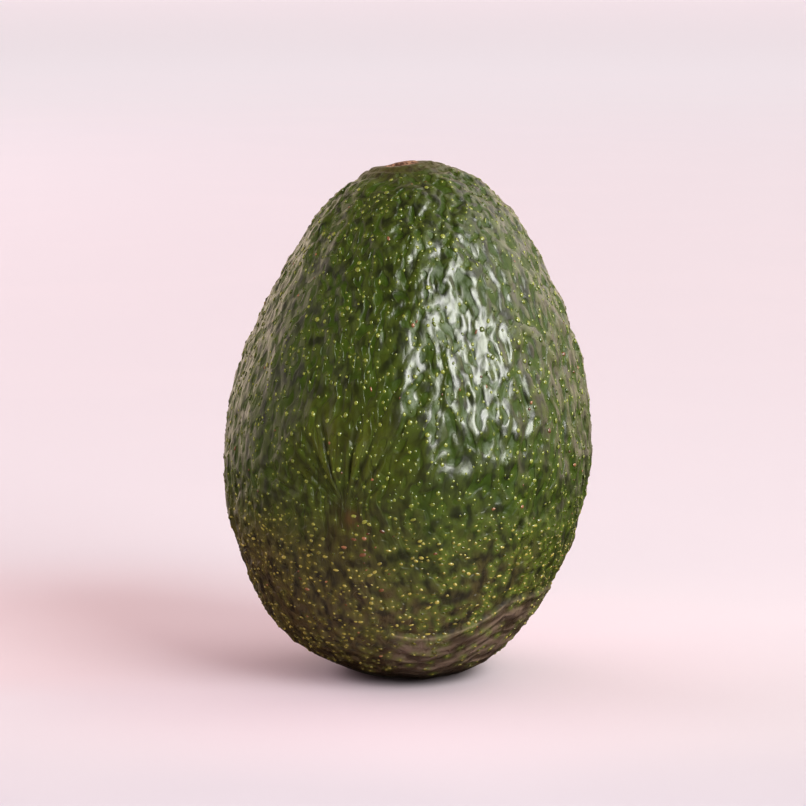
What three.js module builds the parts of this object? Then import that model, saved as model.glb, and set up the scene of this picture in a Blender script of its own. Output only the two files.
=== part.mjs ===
import * as THREE from "three";
import { mergeVertices } from "three/addons/utils/BufferGeometryUtils.js";
import { ImprovedNoise } from "three/addons/math/ImprovedNoise.js";

// A whole avocado standing on its broad end, in millimetres, +Z up.
// The origin lies on the surface it stands on, under the middle of its bounding box.
// The front, with the blossom scar, faces -Y. Angles round the fruit run from the front towards +X.

// The smooth body
const HEIGHT = 100;
const HALF_WIDTH = 35.5;
const DEPTH_SHARE = 0.98; // front to back against side to side
const LEAN = 0.038; // sideways shift for each millimetre of height
const FOOT = { cut: 1.3, shift: 1.6, fade: 5 }; // the flat it rests on, and how far that lies to one side

// How the half width departs from an ellipse's: c runs from -1 at the foot to 1 at the stem end
const TAPER = -0.136; // times c
const BELLY = -0.13; // times c squared
const SHOULDER = 0.01; // times c cubed
const CROWN = 0.22; // times c to the fourth

// Broad unevenness: swellings, and the blunt keel that runs down the front
const SWELL = { height: 0.6, size: 28 };
const KEEL = { height: 0.9, angle: -0.1, halfWidth: 0.3, low: 36, high: 94 };

// Skin relief: wavy folds that run from the stem end downwards, and pebbles all over
const FOLD = { depth: 0.85, width: 5.2, length: 19, sharpness: 0.36, low: 6, high: 30 };
const WANDER = { shift: 3, size: 13 };
const PEBBLE = { height: 0.7, size: 4.6 };

// The blossom scar, a shallow dimple low on the front left, to which the folds above it run together
const BLOSSOM = { angle: -0.36, height: 37, depth: 1.4, radius: 5.5 };
const CALM = { below: 4, radius: 6.5 }; // the smoother patch just under it
const FAN = { pull: 0.9, reach: 15, depth: 0.5 };

// The ledge low on the front right: a raised lip, under which the skin turns inwards
const LEDGE = { height: 12, rise: 16, lowest: 0.12, angle: 0.4, reach: 0.5, lip: 0.8, step: 0.9, fall: 9 };

// The stem scar, a corky disc inside a groove and a low collar, at the top
const STEM = { x: -1.2, y: 0.8, disc: 2.8, groove: 3.7, collar: 5.2 };
const STEM_RELIEF = { disc: 0.2, groove: -0.9, collar: 0.35, softness: 0.75 };

// The mesh: an icosphere whose points gather a little at the two scars
const DETAIL = 23;
const WELD = 1e-4;
const GATHERED = [
  { towards: new THREE.Vector3(-0.08, 0.04, 1).normalize(), share: 0.55, reach: 0.5 },
  { towards: new THREE.Vector3(-0.35, -0.92, -0.12).normalize(), share: 0.22, reach: 0.55 },
];

const SKIN_COLOUR = 0x38441c;

const noise = new ImprovedNoise();
const noiseAt = (x, y, z, width, length = width) => noise.noise(x / width, y / width, z / length);
const bell = (x) => Math.exp(-x * x);
const between = (x, low, high) => THREE.MathUtils.smoothstep(x, low, high);
const angleOf = (p) => Math.atan2(p.x, -p.y);

// Moves a direction closer to the scars, so that these small features get facets enough
function gathered(direction) {
  for (const { towards, share, reach } of GATHERED) {
    direction.lerp(towards, share * bell(direction.angleTo(towards) / reach)).normalize();
  }
  return direction;
}

// The smooth body: an egg with a slight lean
function bodyPoint(direction) {
  const c = direction.z;
  const z = ((HEIGHT + FOOT.cut) * (c + 1)) / 2 - FOOT.cut;
  const halfWidth = HALF_WIDTH * (1 + TAPER * c + BELLY * c ** 2 + SHOULDER * c ** 3 + CROWN * c ** 4);
  const aside = LEAN * (z - HEIGHT / 2) + FOOT.shift * bell(z / FOOT.fade);
  return new THREE.Vector3(halfWidth * direction.x + aside, halfWidth * direction.y * DEPTH_SHARE, z);
}

function swelling(p) {
  return SWELL.height * noiseAt(p.x, p.y, p.z, SWELL.size);
}

function keel(p) {
  const along = between(p.z, KEEL.low, KEEL.low + 20) * (1 - between(p.z, KEEL.high - 20, KEEL.high));
  return KEEL.height * along * bell((angleOf(p) - KEEL.angle) / KEEL.halfWidth);
}

// How far a point of the skin lies from the blossom scar, sideways, upwards and straight
function fromBlossom(p) {
  const across = (angleOf(p) - BLOSSOM.angle) * HALF_WIDTH;
  const up = p.z - BLOSSOM.height;
  return { across, up, distance: Math.hypot(across, up) };
}

// Valleys follow the zero line of a noise, which leaves broad rounded folds between them.
// Near the blossom scar the noise is squeezed sideways, so that its valleys meet there.
function folds(p, blossom) {
  const near = bell(blossom.distance / FAN.reach);
  const squeeze = blossom.across * FAN.pull * near;
  const wander = WANDER.shift * noiseAt(p.x, p.y, p.z, WANDER.size);
  const value = noiseAt(p.x + squeeze + wander, p.y, p.z, FOLD.width, FOLD.length);
  const fan = near * between(blossom.up, 0, 6);
  const share = between(p.z, FOLD.low, FOLD.high);
  return -(FOLD.depth * share + FAN.depth * fan) * bell(value / FOLD.sharpness);
}

function pebbles(p) {
  return PEBBLE.height * noiseAt(p.x, p.y, p.z, PEBBLE.size);
}

function ledge(p) {
  const angle = angleOf(p);
  const edge = LEDGE.height + LEDGE.rise * (angle - LEDGE.lowest) ** 2;
  const below = edge - p.z;
  const lip = between(below, -LEDGE.step / 2, LEDGE.step / 2) * (1 - between(below, 0, LEDGE.fall));
  return LEDGE.lip * lip * bell((angle - LEDGE.angle) / LEDGE.reach);
}

function stemScar(distance) {
  const ring = (radius) => bell((distance - radius) / STEM_RELIEF.softness);
  const disc = 1 - between(distance, STEM.disc - 0.6, STEM.disc + 0.6);
  return (
    STEM_RELIEF.disc * disc + STEM_RELIEF.groove * ring(STEM.groove) + STEM_RELIEF.collar * ring(STEM.collar)
  );
}

// Everything that raises or sinks the skin, measured along the body's own normal
function relief(p) {
  const blossom = fromBlossom(p);
  const fromStem = p.z > HEIGHT / 2 ? Math.hypot(p.x - STEM.x, p.y - STEM.y) : HEIGHT;
  const dimple = -BLOSSOM.depth * bell(blossom.distance / BLOSSOM.radius);
  const calm = bell(Math.hypot(blossom.across, blossom.up + CALM.below) / CALM.radius);
  const skin = between(fromStem, STEM.collar, STEM.collar + 4) * (1 - calm);
  return (
    swelling(p) + keel(p) + dimple + ledge(p) + stemScar(fromStem) + skin * (folds(p, blossom) + pebbles(p))
  );
}

function skinGeometry() {
  const sphere = new THREE.IcosahedronGeometry(1, DETAIL);
  sphere.deleteAttribute("normal");
  sphere.deleteAttribute("uv");
  const geometry = mergeVertices(sphere, WELD);
  const place = geometry.getAttribute("position");
  const body = [];
  for (let i = 0; i < place.count; i++) {
    body.push(bodyPoint(gathered(new THREE.Vector3().fromBufferAttribute(place, i).normalize())));
    place.setXYZ(i, ...body[i]);
  }
  geometry.computeVertexNormals();
  const normals = geometry.getAttribute("normal");
  body.forEach((p, i) => {
    const normal = new THREE.Vector3().fromBufferAttribute(normals, i);
    const raised = p.clone().addScaledVector(normal, relief(p));
    place.setXYZ(i, raised.x, raised.y, Math.max(raised.z, 0)); // the foot is flattened where it rests
  });
  geometry.computeBoundingBox();
  const middle = geometry.boundingBox.getCenter(new THREE.Vector3());
  geometry.scale(1, 1, HEIGHT / geometry.boundingBox.max.z);
  geometry.translate(-middle.x, -middle.y, 0);
  geometry.computeVertexNormals();
  return geometry;
}

const skin = new THREE.MeshStandardMaterial({ color: SKIN_COLOUR, roughness: 0.35, metalness: 0 });
const avocado = new THREE.Mesh(skinGeometry(), skin);
avocado.name = "avocado";

const fruit = new THREE.Group();
fruit.add(avocado);

export default fruit;
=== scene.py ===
import math

import bmesh
import bpy
import numpy as np
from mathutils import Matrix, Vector


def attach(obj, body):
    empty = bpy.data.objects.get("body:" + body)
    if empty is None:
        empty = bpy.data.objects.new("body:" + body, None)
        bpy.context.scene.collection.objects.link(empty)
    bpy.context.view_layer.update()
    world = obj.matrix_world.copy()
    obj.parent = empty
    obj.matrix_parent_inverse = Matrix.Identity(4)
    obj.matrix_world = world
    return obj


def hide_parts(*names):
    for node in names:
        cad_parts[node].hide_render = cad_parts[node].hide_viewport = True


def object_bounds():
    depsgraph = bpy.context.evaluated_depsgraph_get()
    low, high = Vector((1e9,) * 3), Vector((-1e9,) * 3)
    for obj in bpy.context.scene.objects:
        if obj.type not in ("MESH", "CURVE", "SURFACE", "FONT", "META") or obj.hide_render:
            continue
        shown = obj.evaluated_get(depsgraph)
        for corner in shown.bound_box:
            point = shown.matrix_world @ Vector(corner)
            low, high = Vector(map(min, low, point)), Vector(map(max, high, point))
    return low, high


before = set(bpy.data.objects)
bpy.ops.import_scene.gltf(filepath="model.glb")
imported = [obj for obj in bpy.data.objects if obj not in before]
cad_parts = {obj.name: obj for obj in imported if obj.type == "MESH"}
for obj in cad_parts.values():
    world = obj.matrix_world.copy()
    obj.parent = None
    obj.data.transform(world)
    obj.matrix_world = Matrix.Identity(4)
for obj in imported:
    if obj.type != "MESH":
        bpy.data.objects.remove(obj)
cad_low, cad_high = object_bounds()

# The fruit's landmarks, in millimetres and radians, as its solid has them.
# Angles run round the fruit from the front, which faces -Y, towards +X.
HEIGHT = (cad_high.z - cad_low.z) * 1000
HALF_WIDTH = (cad_high.x - cad_low.x) * 500
STEM = {"x": -1.2, "y": 0.8, "disc": 2.8, "groove": 3.7, "collar": 5.2}
BLOSSOM = {"angle": -0.36, "height": 37.0, "pull": 0.9, "reach": 15.0}
CALM = {"below": 4.0, "radius": 6.5}  # the smooth patch under the blossom scar
SPOT = {"across": 4.5, "up": -6.5, "radius": 3.6}  # where corky lenticels gather, beside and below the scar
LEDGE = {"height": 12.0, "rise": 16.0, "lowest": 0.12, "level": 0.74}  # it rises from one angle to the other
LEDGE_ENDS = {"left": (-0.25, 0.0), "right": (1.0, 1.7)}  # the angles between which the ledge fades
SIDES = (0.85, 1.25)  # the angles between which the front gives way to the ridged sides
PLATEAU = {"angle": -0.75, "half_width": 0.4, "heights": (38.0, 52.0)}  # the flatter skin at the left

# The heights between which the skin of the lower half gives way to that of the upper
UPPER = {"relief": (30.0, 46.0), "colour": (26.0, 44.0), "beads": (30.0, 50.0), "bead_colour": (24.0, 42.0)}

# The fine folds and the slits between them: widths in millimetres, levels as values of their noise
FOLD = {"width": 2.6, "level": -0.31, "softness": 0.3, "mean": 0.7}
SLIT = {"width": 1.45, "level": -0.13}
CREASE = {"width": 3.0, "length": 6.0}
STREAK = {"length": 7.0, "width": 1.3}  # the wrinkles under the ledge
LIP = {"crest": 0.5, "crest_width": 0.6, "groove": -0.5, "groove_width": 0.45}  # along the ledge's edge
RING = {"radius": 8.0, "width": 3.0, "turns": 2.6, "wander": 1.6, "lumps": 5.0}  # round the stem scar

# The grain that folds and slits follow: drawn out upwards, wandering, and slanted at the left
GRAIN = {"stretch": 2.5, "wander": 1.3, "lumps": 7.0}
SLANT = {"slope": 0.35, "middle": 55.0, "span": 18.0, "start": 4.0, "full": 14.0}

# The valleys that run together at the blossom scar
FAN = {"radius": 11.0, "width": 8.5, "spread": 1.1, "strands": 6.0, "length": 40.0}

# The heights of the bumps in the skin's material, in millimetres
BUMP = {
    "slit": 0.16,
    "crease": 0.05,
    "fan": 0.16,
    "wrinkle": 0.02,
    "grain": 0.04,
    "side_grain": 0.12,
    "hollow": 0.16,
}

# The lenticels: how many to a square metre where they crowd most, and the share that is corky elsewhere
LENTICEL_DENSITY = 600000.0
CORKY_SHARE = 0.03

# A lenticel's size against the usual radius, and how much slimmer and taller those of the upper half are
BEAD = {
    "smallest": 0.7,
    "spare": 0.8,
    "wide": (0.8, 1.7),
    "tall": (0.6, 1.0),
    "high": 0.5,
    "slimmer": 0.35,
    "taller": 0.45,
    "lean": 0.6,
}

# The roughness of the skin and what adds to it, and the weight of its waxy coat and what takes from it
ROUGH = {"skin": 0.33, "clouds": 0.08, "slits": 0.1, "cork": 0.3, "lip": 0.25, "crown": 0.2}
COAT = {"skin": 0.95, "slits": 0.9, "crown": 0.85}

# How bright the room is: everywhere, behind the fruit, level with it there, and the floor in front
ROOM = {"dark": 0.06, "behind": 0.12, "level": 1.05, "floor": 0.14}

CUTS = 4  # into how many parts each edge of the solid's facets is cut

# The photograph's camera
CAMERA = {"distance": 0.65, "elevation": math.radians(8.5), "lens": 150.0, "aim": (-0.0009, 0.0, 0.0528)}


class Wire:
    """A node's output. Python's operators on it add Math nodes, so numbers read as plain formulas."""

    def __init__(self, graph, socket):
        self.graph = graph
        self.socket = socket

    def math(self, operation, *others, first=None):
        start = self if first is None else first
        rest = others if first is None else (self, *others)
        values = dict(enumerate((start, *rest)))
        return self.graph.node("ShaderNodeMath", {"operation": operation}, values)

    def __add__(self, other):
        return self.math("ADD", other)

    __radd__ = __add__

    def __mul__(self, other):
        return self.math("MULTIPLY", other)

    __rmul__ = __mul__

    def __sub__(self, other):
        return self.math("SUBTRACT", other)

    def __rsub__(self, other):
        return self.math("SUBTRACT", first=other)

    def __truediv__(self, other):
        return self.math("DIVIDE", other)

    def __rtruediv__(self, other):
        return self.math("DIVIDE", first=other)

    def __pow__(self, other):
        return self.math("POWER", other)

    def __neg__(self):
        return self.math("MULTIPLY", -1.0)

    def bell(self):
        """1 where the number is 0, falling to 0 on both sides."""
        return (-(self * self)).math("EXPONENT")

    def between(self, low, high):
        """0 below low, 1 above high, and smooth from one to the other."""
        sockets = {"Value": self, "From Min": low, "From Max": high}
        return self.graph.node("ShaderNodeMapRange", {"interpolation_type": "SMOOTHSTEP"}, sockets)


class Graph:
    """Builds the nodes of one tree, for a surface's shape or for its material."""

    def __init__(self, tree):
        self.tree = tree

    def node(self, kind, settings=None, sockets=None, output=0):
        """Adds a node: its settings first, then its sockets' values or links, each by name or number."""
        made = self.tree.nodes.new(kind)
        for name, value in (settings or {}).items():
            setattr(made, name, value)
        for key, value in (sockets or {}).items():
            self.plug(self.pick(made.inputs, key), value)
        return Wire(self, self.pick(made.outputs, output)) if made.outputs else None

    def pick(self, sockets, key):
        if isinstance(key, str):
            return next(s for s in sockets if s.name == key and s.enabled)
        return [s for s in sockets if s.enabled][key]

    def plug(self, socket, value):
        if isinstance(value, Wire):
            self.tree.links.new(value.socket, socket)
        else:
            socket.default_value = value

    def vector(self, x, y, z):
        return self.node("ShaderNodeCombineXYZ", None, {0: x, 1: y, 2: z})

    def axes(self, vector):
        split = self.node("ShaderNodeSeparateXYZ", None, {0: vector})
        return [Wire(self, socket) for socket in split.socket.node.outputs]

    def scaled(self, vector, factor):
        sockets = {"Vector": vector, "Scale": factor}
        return self.node("ShaderNodeVectorMath", {"operation": "SCALE"}, sockets)

    def noise(self, place, size=1.0, detail=0.0, roughness=0.5):
        """Smooth noise about 0, with lumps of about the given size."""
        settings = {"noise_dimensions": "3D", "normalize": False}
        sockets = {"Vector": place, "Scale": 1.0 / size, "Detail": detail, "Roughness": roughness}
        return self.node("ShaderNodeTexNoise", settings, sockets)

    def blend(self, share, first, second):
        """A colour from first, where share is 0, to second, where it is 1."""
        settings = {"data_type": "RGBA", "clamp_factor": True}
        return self.node("ShaderNodeMix", settings, {"Factor": share, "A": first, "B": second})

    def layered(self, base, layers):
        """A colour with named layers laid over it in turn, each a share and a colour."""
        for share, tone in layers.values():
            base = self.blend(share, base, tone)
        return base

    def stored_value(self, name):
        """What the geometry tree stored under a name, as a material reads it."""
        return self.node("ShaderNodeAttribute", {"attribute_name": name}, None, "Fac")


def colour(red, green, blue):
    """A linear colour from the 0 to 255 values that a screen shows."""
    def linear(value):
        share = value / 255
        return share / 12.92 if share <= 0.04045 else ((share + 0.055) / 1.055) ** 2.4

    return (linear(red), linear(green), linear(blue), 1.0)


class Places:
    """Where a point of the skin lies, in millimetres, and how near it is to each landmark."""

    def __init__(self, graph, position):
        self.graph = graph
        self.point = graph.scaled(position, 1000.0)
        self.x, self.y, self.z = graph.axes(self.point)
        self.angle = self.x.math("ARCTAN2", -self.y)
        self.across = (self.angle - BLOSSOM["angle"]) * HALF_WIDTH
        self.up = self.z - BLOSSOM["height"]
        self.from_blossom = self.length(self.across, self.up)
        lower_half = self.z.math("LESS_THAN", HEIGHT / 2)
        self.from_stem = self.length(self.x - STEM["x"], self.y - STEM["y"]) + lower_half * HEIGHT
        self.sides = self.angle.math("ABSOLUTE").between(*SIDES)
        beside = ((self.angle - PLATEAU["angle"]) / PLATEAU["half_width"]).bell()
        self.smooth = beside * self.z.between(*PLATEAU["heights"])
        self.calm = (self.length(self.across, self.up + CALM["below"]) / CALM["radius"]).bell()
        sideways = self.angle.math("MINIMUM", LEDGE["level"]) - LEDGE["lowest"]
        self.under_lip = LEDGE["height"] + LEDGE["rise"] * sideways * sideways - self.z
        begun = self.angle.between(*LEDGE_ENDS["left"])
        self.ledge = begun * (1 - self.angle.between(*LEDGE_ENDS["right"]))
        self.under = self.under_lip.between(-0.5, 2.5) * self.ledge * self.z.between(0.5, 5.0)
        spot_away = self.length(self.across - SPOT["across"], self.up - SPOT["up"])
        self.spot = (spot_away / SPOT["radius"]).bell()
        self.turn = self.across.math("ARCTAN2", self.up)
        upwards = (self.turn / FAN["spread"]).bell()
        self.fan_share = ((self.from_blossom - FAN["radius"]) / FAN["width"]).bell() * upwards
        self.drawn = self.drawn_out()

    def length(self, a, b):
        return (a * a + b * b).math("SQRT")

    def drawn_out(self):
        """The place, squeezed upwards: noise read there is long and steep, and runs to the blossom scar."""
        near = (self.from_blossom / BLOSSOM["reach"]).bell()
        squeeze = self.across * near * BLOSSOM["pull"]
        wander = self.graph.noise(self.point, GRAIN["lumps"]) * GRAIN["wander"]
        tilt = (self.z - SLANT["middle"]) / SLANT["span"]
        left = (-self.x).between(SLANT["start"], SLANT["full"])
        slant = tilt * tilt.bell() * left * (SLANT["slope"] * SLANT["span"])
        return self.graph.vector(self.x + squeeze + wander - slant, self.y, self.z / GRAIN["stretch"])

    def grain(self, width, detail=0.0):
        """Noise in long lumps of the given width."""
        return self.graph.noise(self.drawn, width, detail)

    def folds(self):
        """0 along the valleys, 1 on the raised folds between them."""
        level, softness = FOLD["level"], FOLD["softness"]
        return self.grain(FOLD["width"]).between(level - softness, level + softness)

    def slits(self, softness):
        """1 in the narrow slits that lie all over the folds, 0 between them."""
        level = SLIT["level"]
        return 1 - self.grain(SLIT["width"]).between(level - softness, level + softness)

    def creases(self, sharpness):
        """1 along the thin creases that break up the folds."""
        width = CREASE["width"]
        place = self.graph.vector(self.x / width + 5.0, self.y / width, self.z / CREASE["length"])
        return (self.graph.noise(place) / sharpness).bell()

    def streaks(self):
        """Wrinkles that run along under the ledge."""
        length = STREAK["length"]
        place = self.graph.vector(self.x / length, self.y / length, self.under_lip / STREAK["width"])
        return self.graph.noise(place, 1.0, 2.0)

    def fan(self, sharpness):
        """1 along the valleys that run together at the blossom scar from above."""
        place = self.graph.vector(self.turn * FAN["strands"], 0.0, self.from_blossom / FAN["length"])
        return (self.graph.noise(place) / sharpness).bell() * self.fan_share


def finer(mesh, cuts):
    """Cuts each facet into cuts x cuts smaller ones, on the round that the corners' normals show."""
    count = len(mesh.vertices)
    points = np.empty(count * 3)
    normals = np.empty(count * 3)
    mesh.vertices.foreach_get("co", points)
    mesh.vertices.foreach_get("normal", normals)
    corners = np.array([face.vertices[:] for face in mesh.polygons])
    points = points.reshape(-1, 3)[corners]
    normals = normals.reshape(-1, 3)[corners]
    steps = [(i, j) for i in range(cuts + 1) for j in range(cuts + 1 - i)]
    shares = np.array([(i, j, cuts - i - j) for i, j in steps]) / cuts
    flat = np.einsum("sk,tkc->tsc", shares, points)
    rise = np.einsum("tskc,tkc->tsk", points[:, None] - flat[:, :, None], normals)
    bulge = np.einsum("sk,tsk,tkc->tsc", shares, rise, normals) / 2
    number = {step: index for index, step in enumerate(steps)}
    facets = []
    for i, j in steps:
        if i + j < cuts:
            facets.append((number[i, j], number[i + 1, j], number[i, j + 1]))
        if i + j < cuts - 1:
            facets.append((number[i + 1, j], number[i + 1, j + 1], number[i, j + 1]))
    offsets = np.arange(len(corners))[:, None, None] * len(steps)
    made = bpy.data.meshes.new(mesh.name)
    faces = (np.array(facets)[None] + offsets).reshape(-1, 3)
    made.from_pydata((flat + bulge).reshape(-1, 3).tolist(), [], faces.tolist())
    return made


def merged(mesh, gap=1e-6):
    """Joins the points of a mesh that lie together."""
    work = bmesh.new()
    work.from_mesh(mesh)
    bmesh.ops.remove_doubles(work, verts=work.verts, dist=gap)
    bmesh.ops.recalc_face_normals(work, faces=work.faces)
    work.to_mesh(mesh)
    work.free()
    mesh.shade_smooth()
    return mesh


def made_object(name, mesh):
    thing = bpy.data.objects.new(name, mesh)
    bpy.context.scene.collection.objects.link(thing)
    return thing


SKIN_INPUTS = {
    "Fold Depth": ("NodeSocketFloat", 0.36),
    "Slit Depth": ("NodeSocketFloat", 0.16),
    "Crease Depth": ("NodeSocketFloat", 0.09),
    "Fan Depth": ("NodeSocketFloat", 0.8),
    "Lip Height": ("NodeSocketFloat", 0.32),
    "Streak Height": ("NodeSocketFloat", 0.4),
    "Scar Depth": ("NodeSocketFloat", 0.45),
    "Ring Height": ("NodeSocketFloat", 0.2),
    "Pebble Size": ("NodeSocketFloat", 1.9),
    "Pebble Height": ("NodeSocketFloat", 0.3),
    "Ridge Height": ("NodeSocketFloat", 0.34),
    "Wave Size": ("NodeSocketFloat", 1.5),
    "Wave Height": ("NodeSocketFloat", 0.05),
    "Lenticel Gap": ("NodeSocketFloat", 0.8),
    "Lenticel Radius": ("NodeSocketFloat", 0.3),
    "Mound Height": ("NodeSocketFloat", 0.08),
    "Mound Radius": ("NodeSocketFloat", 0.65),
    "Lenticel Seed": ("NodeSocketInt", 7),
    "Lenticels Only": ("NodeSocketBool", False),
}


def skin_relief(graph, at, inputs):
    """The height of the fine relief, in millimetres, from the smoothed solid."""
    upper = at.z.between(*UPPER["relief"])
    rounded = at.from_stem.between(STEM["collar"] + 1.0, STEM["collar"] + 7.0)
    share = rounded * (1 - at.calm * 0.85) * at.z.between(1.0, 5.0)
    folds = (at.folds() - FOLD["mean"]) * inputs["Fold Depth"] - at.slits(0.25) * inputs["Slit Depth"]
    folds = folds * (0.25 + upper * 0.75) * (1 - at.fan_share * 0.6) * (1 - at.smooth * 0.8)
    creases = (0.3 - at.creases(0.2)) * inputs["Crease Depth"]
    fan = -at.fan(0.3) * inputs["Fan Depth"]
    crest = ((at.under_lip - LIP["crest"]) / LIP["crest_width"]).bell()
    groove = ((at.under_lip - LIP["groove"]) / LIP["groove_width"]).bell()
    lip = (crest - groove) * at.ledge * inputs["Lip Height"]
    pebbles = graph.noise(at.point, inputs["Pebble Size"]) * inputs["Pebble Height"] * (1 - upper * 0.85)
    waves = graph.noise(at.point, inputs["Wave Size"]) * inputs["Wave Height"]
    ridges = at.grain(2.0, 1.0) * inputs["Ridge Height"] * at.sides * (1 - at.smooth * 0.7)
    streaks = at.streaks() * inputs["Streak Height"] * at.under
    scar = (1 - at.from_stem.between(STEM["disc"] - 0.4, STEM["disc"] + 0.4)) * inputs["Scar Depth"]
    rings = at.from_stem + graph.noise(at.point, RING["lumps"]) * RING["wander"]
    near_stem = ((at.from_stem - RING["radius"]) / RING["width"]).bell()
    rings = (rings * RING["turns"]).math("SINE") * near_stem * inputs["Ring Height"]
    pebbly = (folds + creases + pebbles + waves + ridges) * share * (1 - at.under * 0.6)
    return pebbly + fan + lip + streaks + rings - scar


def lenticel_points(graph, skin, at, inputs):
    """Scatters the lenticels: most in the slits, few on the smooth patch, none at either end."""
    upper = at.z.between(*UPPER["relief"])
    crowd = (1 - upper * (0.1 + 0.25 * (1 - at.slits(0.1)))) * (1 - at.calm * (1 - at.spot) * 0.8)
    crowd = crowd * graph.noise(at.point, 5.0).between(-0.9, 0.0) * (1 - at.under * 0.7)
    crowd = crowd * at.z.between(2.0, 6.0) * at.from_stem.between(6.0, 13.0)
    sockets = {
        "Mesh": skin,
        "Distance Min": inputs["Lenticel Gap"] / 1000,
        "Density Max": LENTICEL_DENSITY,
        "Density Factor": crowd,
        "Seed": inputs["Lenticel Seed"],
    }
    made = graph.node("GeometryNodeDistributePointsOnFaces", {"distribute_method": "POISSON"}, sockets)
    turn = Wire(graph, graph.pick(made.socket.node.outputs, "Rotation"))
    normal = Wire(graph, graph.pick(made.socket.node.outputs, "Normal"))
    return made, turn, normal


def stored(graph, geometry, name, value, kind="FLOAT"):
    settings = {"data_type": kind, "domain": "POINT"}
    sockets = {"Geometry": geometry, "Name": name, "Value": value}
    return graph.node("GeometryNodeStoreNamedAttribute", settings, sockets)


def named(graph, name, kind="FLOAT"):
    return graph.node("GeometryNodeInputNamedAttribute", {"data_type": kind}, {"Name": name})


def kept_inside(graph, geometry, place):
    """Puts the points of a surface at their place, or at the nearest place in the solid's box."""
    place = graph.node("ShaderNodeVectorMath", {"operation": "MAXIMUM"}, {0: place, 1: tuple(cad_low)})
    place = graph.node("ShaderNodeVectorMath", {"operation": "MINIMUM"}, {0: place, 1: tuple(cad_high)})
    return graph.node("GeometryNodeSetPosition", None, {"Geometry": geometry, "Position": place})


def raised(graph, geometry, height):
    """Moves a surface along its normal by a height in millimetres."""
    place = graph.node("GeometryNodeInputPosition")
    normal = graph.node("GeometryNodeInputNormal")
    ends = {0: place, 1: graph.scaled(normal, height / 1000)}
    return kept_inside(graph, geometry, graph.node("ShaderNodeVectorMath", {"operation": "ADD"}, ends))


def random(graph, low, high, seed):
    sockets = {"Min": low, "Max": high, "Seed": seed}
    return graph.node("FunctionNodeRandomValue", {"data_type": "FLOAT"}, sockets)


def bead(graph):
    """A small closed dome, two across and one high: a cone blown up into a half ball."""
    sockets = {"Vertices": 7, "Side Segments": 2, "Radius Top": 0.0, "Radius Bottom": 1.0, "Depth": 1.0}
    cone = graph.node("GeometryNodeMeshCone", {"fill_type": "TRIANGLE_FAN"}, sockets)
    x, y, z = graph.axes(graph.node("GeometryNodeInputPosition"))
    cone = stored(graph, cone, "rise", z)
    swell = ((1 + z) / (1 - z).math("MAXIMUM", 0.001)).math("SQRT")
    dome = {"Geometry": cone, "Position": graph.vector(x * swell, y * swell, z)}
    return graph.node("GeometryNodeSetPosition", None, dome)


def beads(graph, points, turn, inputs, material):
    """Puts a bead at each lenticel, roughly upright, and stores its tint and whether it is corky."""
    at = Places(graph, graph.node("GeometryNodeInputPosition"))
    size = BEAD["smallest"] + random(graph, 0.0, 1.0, 3) ** 2.0 * BEAD["spare"]
    size = size * inputs["Lenticel Radius"] / 1000
    upper = at.z.between(*UPPER["beads"])
    wide = random(graph, *BEAD["wide"], 8) - upper * BEAD["slimmer"]
    tall = random(graph, *BEAD["tall"], 4) + upper * BEAD["taller"]
    lean = BEAD["lean"]
    about_up = graph.vector(random(graph, -lean, lean, 9), random(graph, -lean, lean, 10), 1.0)
    upright = graph.node(
        "FunctionNodeAlignRotationToVector",
        {"axis": "Y", "pivot_axis": "Z"},
        {"Rotation": turn, "Vector": about_up},
    )
    corky = random(graph, 0.0, 1.0, 5).math("LESS_THAN", CORKY_SHARE + at.spot)
    points = stored(graph, points, "corky", corky)
    points = stored(graph, points, "tint", random(graph, 0.0, 1.0, 6))
    placed = graph.node(
        "GeometryNodeInstanceOnPoints",
        None,
        {
            "Points": points,
            "Instance": bead(graph),
            "Rotation": upright,
            "Scale": graph.vector(size * wide, size * tall, size * BEAD["high"]),
        },
    )
    loose = graph.node("GeometryNodeRealizeInstances", None, {"Geometry": placed})
    loose = kept_inside(graph, loose, graph.node("GeometryNodeInputPosition"))
    return graph.node("GeometryNodeSetMaterial", None, {"Geometry": loose, "Material": material})


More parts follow.
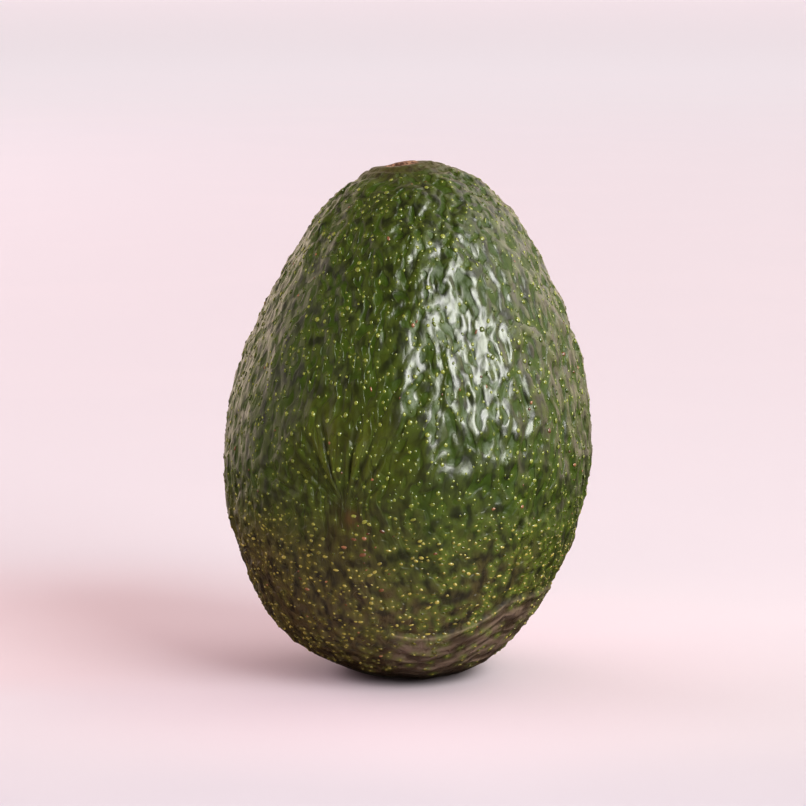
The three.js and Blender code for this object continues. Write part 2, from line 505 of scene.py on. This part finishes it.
def skin_tree(skin_material, bead_material):
    """The tree that turns the smoothed solid into pebbled skin, or into the lenticels that stand on it."""
    tree = bpy.data.node_groups.new("pebbled skin", "GeometryNodeTree")
    tree.interface.new_socket("Body", in_out="INPUT", socket_type="NodeSocketGeometry")
    for name, (kind, value) in SKIN_INPUTS.items():
        tree.interface.new_socket(name, in_out="INPUT", socket_type=kind).default_value = value
    tree.interface.new_socket("Skin", in_out="OUTPUT", socket_type="NodeSocketGeometry")
    graph = Graph(tree)
    entry = tree.nodes.new("NodeGroupInput")
    inputs = {socket.name: Wire(graph, socket) for socket in entry.outputs if socket.name}

    place = graph.node("GeometryNodeInputPosition")
    ease = Places(graph, place).from_stem.between(3.0, 9.0)
    sockets = {"Value": place, "Iterations": 20, "Weight": 0.1 + ease * 0.9}
    eased = graph.node("GeometryNodeBlurAttribute", {"data_type": "FLOAT_VECTOR"}, sockets)
    body = graph.node("GeometryNodeSetPosition", None, {"Geometry": inputs["Body"], "Position": eased})
    at = Places(graph, graph.node("GeometryNodeInputPosition"))
    body = stored(graph, body, "height", skin_relief(graph, at, inputs))
    skin = raised(graph, body, named(graph, "height"))

    points, turn, normal = lenticel_points(graph, skin, at, inputs)
    points = stored(graph, points, "turn", turn, "QUATERNION")
    settings = {"target_element": "POINTS"}
    gap = graph.node("GeometryNodeProximity", settings, {"Geometry": points}, "Distance")
    skin = stored(graph, skin, "lenticel_gap", gap * 1000)
    mound = (named(graph, "lenticel_gap") / inputs["Mound Radius"]).bell() * inputs["Mound Height"]
    skin = raised(graph, skin, mound)
    skin = graph.node("GeometryNodeSetMaterial", None, {"Geometry": skin, "Material": skin_material})

    lift = graph.scaled(normal, (inputs["Mound Height"] * 0.6) / 1000)
    lifted = graph.node("GeometryNodeSetPosition", None, {"Geometry": points, "Offset": lift})
    domes = beads(graph, lifted, named(graph, "turn", "QUATERNION"), inputs, bead_material)
    sockets = {"Switch": inputs["Lenticels Only"], "False": skin, "True": domes}
    chosen = graph.node("GeometryNodeSwitch", {"input_type": "GEOMETRY"}, sockets)
    realized = graph.node("GeometryNodeRealizeInstances", None, {"Geometry": chosen})
    leave = tree.nodes.new("NodeGroupOutput")
    tree.links.new(realized.socket, leave.inputs[0])
    return tree


def grown(name, body, tree, lenticels_only):
    """Runs the skin tree on the body's mesh and keeps the result as a plain mesh."""
    work = made_object(name + "_work", body)
    modifier = work.modifiers.new("skin", "NODES")
    modifier.node_group = tree
    switch = next(s for s in tree.interface.items_tree if s.name == "Lenticels Only")
    modifier[switch.identifier] = lenticels_only
    graph = bpy.context.evaluated_depsgraph_get()
    mesh = bpy.data.meshes.new_from_object(
        work.evaluated_get(graph), preserve_all_data_layers=True, depsgraph=graph
    )
    bpy.data.objects.remove(work)
    mesh.name = name
    mesh.shade_smooth()
    return made_object(name, mesh)


def new_material(name):
    material = bpy.data.materials.new(name)
    material.use_nodes = True
    material.node_tree.nodes.clear()
    return material, Graph(material.node_tree)


def finish_material(graph, sockets):
    shader = graph.node("ShaderNodeBsdfPrincipled", None, sockets)
    graph.node("ShaderNodeOutputMaterial", None, {"Surface": shader})


def skin_colour(graph, at):
    """Deep green above, olive brown towards the foot, livelier in the valleys, corky at the stem scar.
    Painted shade darkens the creases, the fan's valleys and the foot where it meets the floor; a painted
    highlight runs along the ledge's lip, and painted sheen lightens the skin under the ledge and, in part,
    the crown.
    """
    slow = graph.noise(at.point, 16.0, 2.0)
    upper = at.z.between(*UPPER["colour"])
    mottle = at.grain(1.5, 2.0).between(-0.45, 0.4)
    green = graph.blend(mottle, colour(26, 34, 7), colour(58, 73, 15))
    olive = graph.blend(mottle, colour(42, 35, 25), colour(75, 63, 37))
    boundary = at.z + at.x * 0.2 + slow * 9.0
    base = graph.blend(boundary.between(14.0, 42.0), olive, green)

    lowest = 1 - (at.z + slow * 5.0).between(2.0, 11.0)
    # The skin under the ledge: its own brown wrinkles, lightened towards grey by a painted sheen.
    streaks_and_sheen = graph.blend(at.streaks().between(-0.35, 0.4), colour(66, 52, 41), colour(122, 104, 88))
    heart = (at.length(at.across - 1.4, at.up + 1.0) / 1.3).bell()
    halo = (graph.stored_value("lenticel_gap") / 0.85).bell() * graph.noise(at.point, 2.0).between(-0.5, 0.2)
    low_tone = graph.blend(at.x.between(-16.0, 12.0), colour(100, 96, 32), colour(98, 120, 28))
    halo_tone = graph.blend(upper, low_tone, colour(76, 98, 14))
    # Where a painted highlight runs along the ledge's lip, broken up by noise.
    lip = ((at.under_lip - 0.35) / 0.22).bell() * at.ledge * graph.noise(at.point, 2.5).between(-0.6, 0.2)
    crown = 1 - (at.from_stem + slow * 3.0).between(5.0, 12.0)
    scar = 1 - at.from_stem.between(STEM["disc"], STEM["groove"])
    grit = graph.noise(at.point, 0.7, 3.0).between(-0.3, 0.3)
    layers = {
        "brown foot": (lowest * 0.8, colour(62, 45, 30)),
        # Wrinkled skin under the ledge, partly its own colour and partly painted sheen.
        "under the ledge": (at.under * 0.75, streaks_and_sheen),
        # Painted shade: the lowest millimetres darkened almost to black where the fruit meets the floor.
        "painted contact shade": ((1 - at.z.between(0.0, 4.0)) * 0.9, colour(14, 10, 7)),
        "slits": (at.slits(0.12) * upper * 0.9, colour(46, 70, 1)),
        # Painted shade darkens the thin creases.
        "creases": (at.creases(0.09) * upper * 0.35, colour(20, 30, 4)),
        "fan": (at.fan_share * 0.75, colour(86, 94, 10)),
        # Painted shade darkens the fan's valleys.
        "painted shade in the fan valleys": (at.fan(0.28) * 0.85, colour(18, 24, 3)),
        "smooth patch": (at.calm * 0.7, colour(58, 50, 18)),
        "blossom scar": (heart * 0.6, colour(104, 62, 40)),
        "round the lenticels": (halo * (0.75 - upper * 0.2), halo_tone),
        # Painted highlight: a pale line along the ledge's lip.
        "painted highlight on the lip": (lip * 0.45, colour(150, 134, 104)),
        # The crown's olive brown is partly its own colour and partly a painted sheen.
        "crown": (crown * 0.6, colour(74, 66, 34)),
        "stem scar": (scar, graph.blend(grit, colour(80, 56, 38), colour(152, 120, 92))),
    }
    return graph.layered(base, layers)


def skin_bump(graph, at):
    """Wrinkles too fine for the mesh, in metres."""
    upper = at.z.between(*UPPER["colour"])
    slits = at.slits(0.12) * upper * BUMP["slit"]
    creases = at.creases(0.1) * BUMP["crease"]
    fan = at.fan(0.2) * BUMP["fan"]
    ridges = at.grain(0.8, 1.0) * (BUMP["grain"] + at.sides * (1 - at.smooth * 0.6) * BUMP["side_grain"])
    wrinkles = graph.noise(at.point, 0.8, 1.0, 0.4) * BUMP["wrinkle"]
    hollows = graph.noise(at.point, 1.5).between(-0.45, -0.1) * (1 - upper) * BUMP["hollow"]
    return (ridges + wrinkles + hollows - slits - creases - fan) / 1000


def skin_surface():
    material, graph = new_material("skin_waxy_green")
    at = Places(graph, graph.node("ShaderNodeTexCoord", None, None, "Object"))
    cork = 1 - at.from_stem.between(STEM["disc"], STEM["groove"])
    brink = (at.under_lip / 0.9).bell() * at.ledge
    crown = 1 - at.from_stem.between(5.0, 13.0)
    rough = ROUGH["skin"] + graph.noise(at.point, 4.0, 2.0) * ROUGH["clouds"]
    rough = rough + at.slits(0.15) * ROUGH["slits"]
    rough = rough + cork * ROUGH["cork"] + brink * ROUGH["lip"] + crown * ROUGH["crown"]
    coat = (COAT["skin"] - at.slits(0.15) * COAT["slits"]) * (1 - crown * COAT["crown"])
    bump = {"Strength": 1.0, "Distance": 1.0, "Height": skin_bump(graph, at)}
    sockets = {
        "Base Color": skin_colour(graph, at),
        "Roughness": rough,
        "Specular IOR Level": 0.3,
        "Coat Weight": coat,
        "Coat Roughness": 0.27,
        "Normal": graph.node("ShaderNodeBump", None, bump),
    }
    finish_material(graph, sockets)
    return material


def bead_surface():
    material, graph = new_material("lenticel_gloss")
    at = Places(graph, graph.node("ShaderNodeTexCoord", None, None, "Object"))
    tint = graph.stored_value("tint")
    high = graph.blend(tint, colour(54, 74, 12), colour(140, 152, 58))
    low = graph.blend(tint, colour(72, 70, 24), colour(184, 170, 80))
    plain = graph.blend(at.z.between(*UPPER["bead_colour"]), low, high)
    cork = graph.blend(tint, colour(84, 52, 32), colour(164, 112, 76))
    top = graph.blend(graph.stored_value("corky"), plain, cork)
    tone = graph.blend(graph.stored_value("rise").between(-0.3, 0.8), colour(34, 46, 10), top)
    sockets = {"Base Color": tone, "Roughness": 0.22, "Specular IOR Level": 0.9}
    finish_material(graph, sockets)
    return material


def floor_surface():
    """Pale pink paper with faint clouds, darker towards the front and the back. Its colour holds painted
    light: lighter and redder round the fruit, a pinker painted shadow to its left, a dark painted shadow
    under it, and a painted glow farther off.
    """
    material, graph = new_material("studio_floor")
    place = graph.node("ShaderNodeTexCoord", None, None, "Object")
    x, y = graph.axes(place)[:2]
    away = graph.node("ShaderNodeVectorMath", {"operation": "LENGTH"}, {0: place}, "Value")
    cloud = graph.noise(place, 0.09, 2.0) * 0.3
    shadow = (1 - x.between(-0.07, -0.01)) * y.between(-0.03, 0.0) * (1 - y.between(0.05, 0.13))
    tints = {
        # Painted light: the paper is lighter in a band round the fruit, to offset the shade there, and
        # darker towards the front and the back.
        "middle": (y.between(-0.1, -0.04) + cloud, colour(216, 219, 227)),
        "back": (y.between(0.03, 0.13) + cloud, colour(209, 214, 223)),
        # Painted light: the paper is lighter and redder close to the fruit.
        "painted light round the fruit": ((1 - away.between(0.02, 0.1)) * 0.8, colour(228, 219, 230)),
        # Painted shadow: a darker, pinker tint where the fruit's shadow falls to its left.
        "painted shadow tint": (shadow * 0.7, colour(215, 205, 212)),
        # Painted shadow: dark under the fruit, where it touches the floor.
        "painted contact shadow": ((1 - away.between(0.008, 0.017)) * 0.8, colour(70, 48, 50)),
    }
    # Painted light: the paper glows beyond the fruit and further back, standing in for lamp light that falls
    # off there.
    painted_glows = {
        "beyond the fruit": (away.between(0.3, 2.5), (0.34, 0.37, 0.4, 1.0)),
        "far back": (away.between(1.8, 5.5), (0.47, 0.45, 0.49, 1.0)),
    }
    sockets = {
        "Base Color": graph.layered(colour(204, 209, 219), tints),
        "Roughness": 0.8,
        "Specular IOR Level": 0.2,
        "Emission Color": graph.layered((0.0, 0.0, 0.0, 1.0), painted_glows),
        "Emission Strength": 1.0,
    }
    finish_material(graph, sockets)
    return material


def add_floor():
    half = 9.0
    mesh = bpy.data.meshes.new("floor")
    corners = [(-half, -half, 0.0), (half, -half, 0.0), (half, half, 0.0), (-half, half, 0.0)]
    mesh.from_pydata(corners, [], [(0, 1, 2, 3)])
    mesh.materials.append(floor_surface())
    floor = made_object("floor", mesh)
    floor.visible_glossy = False


# The soft boxes: azimuth and elevation in degrees and distance in metres, width and height in metres,
# watts and tint. Azimuth 0 is the camera's side, and it turns towards +X.
PLAIN = (1.0, 1.0, 0.96)
WARM = (1.0, 0.92, 0.86)
PINK = (1.0, 0.72, 0.76)
SOFT_BOXES = {
    "key": {"place": (44, 27, 2.2), "size": (1.3, 1.6), "power": 49.5, "tint": PLAIN},
    "key_centre": {
        "place": (45, 28, 2.15),
        "size": (0.7, 1.1),
        "power": 23.0,
        "tint": PLAIN,
        "diffuse": False,
    },
    "left": {"place": (-95, 14, 1.6), "size": (1.8, 1.3), "power": 2.0, "tint": WARM},
    "right": {"place": (115, 38, 1.6), "size": (1.5, 1.5), "power": 9.0, "tint": WARM},
    "left_bounce": {
        "place": (-115, 18, 1.6),
        "size": (1.8, 1.0),
        "power": 22.0,
        "tint": PINK,
        "glossy": False,
    },
}
OVERHEAD = {"power": 1.48, "spread": 110, "tint": (1.0, 0.61, 0.65), "turn": (12, 10, 0)}
MIDDLE = Vector((0.0, 0.0, 0.05))  # what the soft boxes look at, inside the fruit


def add_soft_box(name, place, size, power, tint, glossy=True, diffuse=True):
    azimuth, elevation = (math.radians(angle) for angle in place[:2])
    level = math.cos(elevation)
    away = Vector((math.sin(azimuth) * level, -math.cos(azimuth) * level, math.sin(elevation)))
    data = bpy.data.lights.new(name, "AREA")
    data.shape = "RECTANGLE"
    data.size, data.size_y = size
    data.energy = power
    data.color = tint
    lamp = made_object(name, data)
    lamp.location = MIDDLE + away * place[2]
    lamp.rotation_euler = away.to_track_quat("Z", "Y").to_euler()
    lamp.visible_glossy = glossy
    lamp.visible_diffuse = diffuse


def add_lights():
    for name, box in SOFT_BOXES.items():
        add_soft_box(name, **box)
    data = bpy.data.lights.new("overhead", "SUN")
    data.energy = OVERHEAD["power"]
    data.angle = math.radians(OVERHEAD["spread"])
    data.color = OVERHEAD["tint"]
    lamp = made_object("overhead", data)
    lamp.rotation_euler = [math.radians(angle) for angle in OVERHEAD["turn"]]
    lamp.visible_glossy = False


def add_world():
    """Pale surroundings behind the fruit, a dark room elsewhere, and the floor as the fruit mirrors it."""
    world = bpy.data.worlds.new("studio")
    world.use_nodes = True
    world.node_tree.nodes.clear()
    graph = Graph(world.node_tree)
    x, y, z = graph.axes(graph.node("ShaderNodeTexCoord", None, None, "Generated"))
    behind = (y + x * 0.4).between(-0.15, 0.45)
    down = 1 - z.between(-0.45, -0.1)
    level = z.between(-0.25, 0.0) * (1 - z.between(0.25, 0.7))
    floor = down * (1 - y.between(-0.1, 0.4)) * ROOM["floor"]
    glow = (1 - down) * (ROOM["dark"] + behind * (ROOM["behind"] + level * ROOM["level"])) + floor
    background = graph.node("ShaderNodeBackground", None, {"Color": colour(250, 226, 202), "Strength": glow})
    graph.node("ShaderNodeOutputWorld", None, {"Surface": background})
    bpy.context.scene.world = world


def add_camera():
    data = bpy.data.cameras.new("camera")
    data.lens = CAMERA["lens"]
    data.sensor_width = 36.0
    data.clip_end = 20.0
    camera = made_object("camera", data)
    rise = CAMERA["elevation"]
    back = Vector((0.0, -math.cos(rise), math.sin(rise)))
    camera.location = Vector(CAMERA["aim"]) + back * CAMERA["distance"]
    camera.rotation_euler = back.to_track_quat("Z", "Y").to_euler()
    bpy.context.scene.camera = camera


def add_fruit():
    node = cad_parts["avocado"]
    body = merged(finer(merged(node.data.copy()), CUTS))
    tree = skin_tree(skin_surface(), bead_surface())
    skin = grown("skin", body, tree, False)
    lenticels = grown("lenticels", body, tree, True)
    for piece in (skin, lenticels):
        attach(piece, "root")
    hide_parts("avocado")


add_camera()
add_floor()
add_lights()
add_world()
add_fruit()
bpy.context.scene.view_settings.view_transform = "Standard"
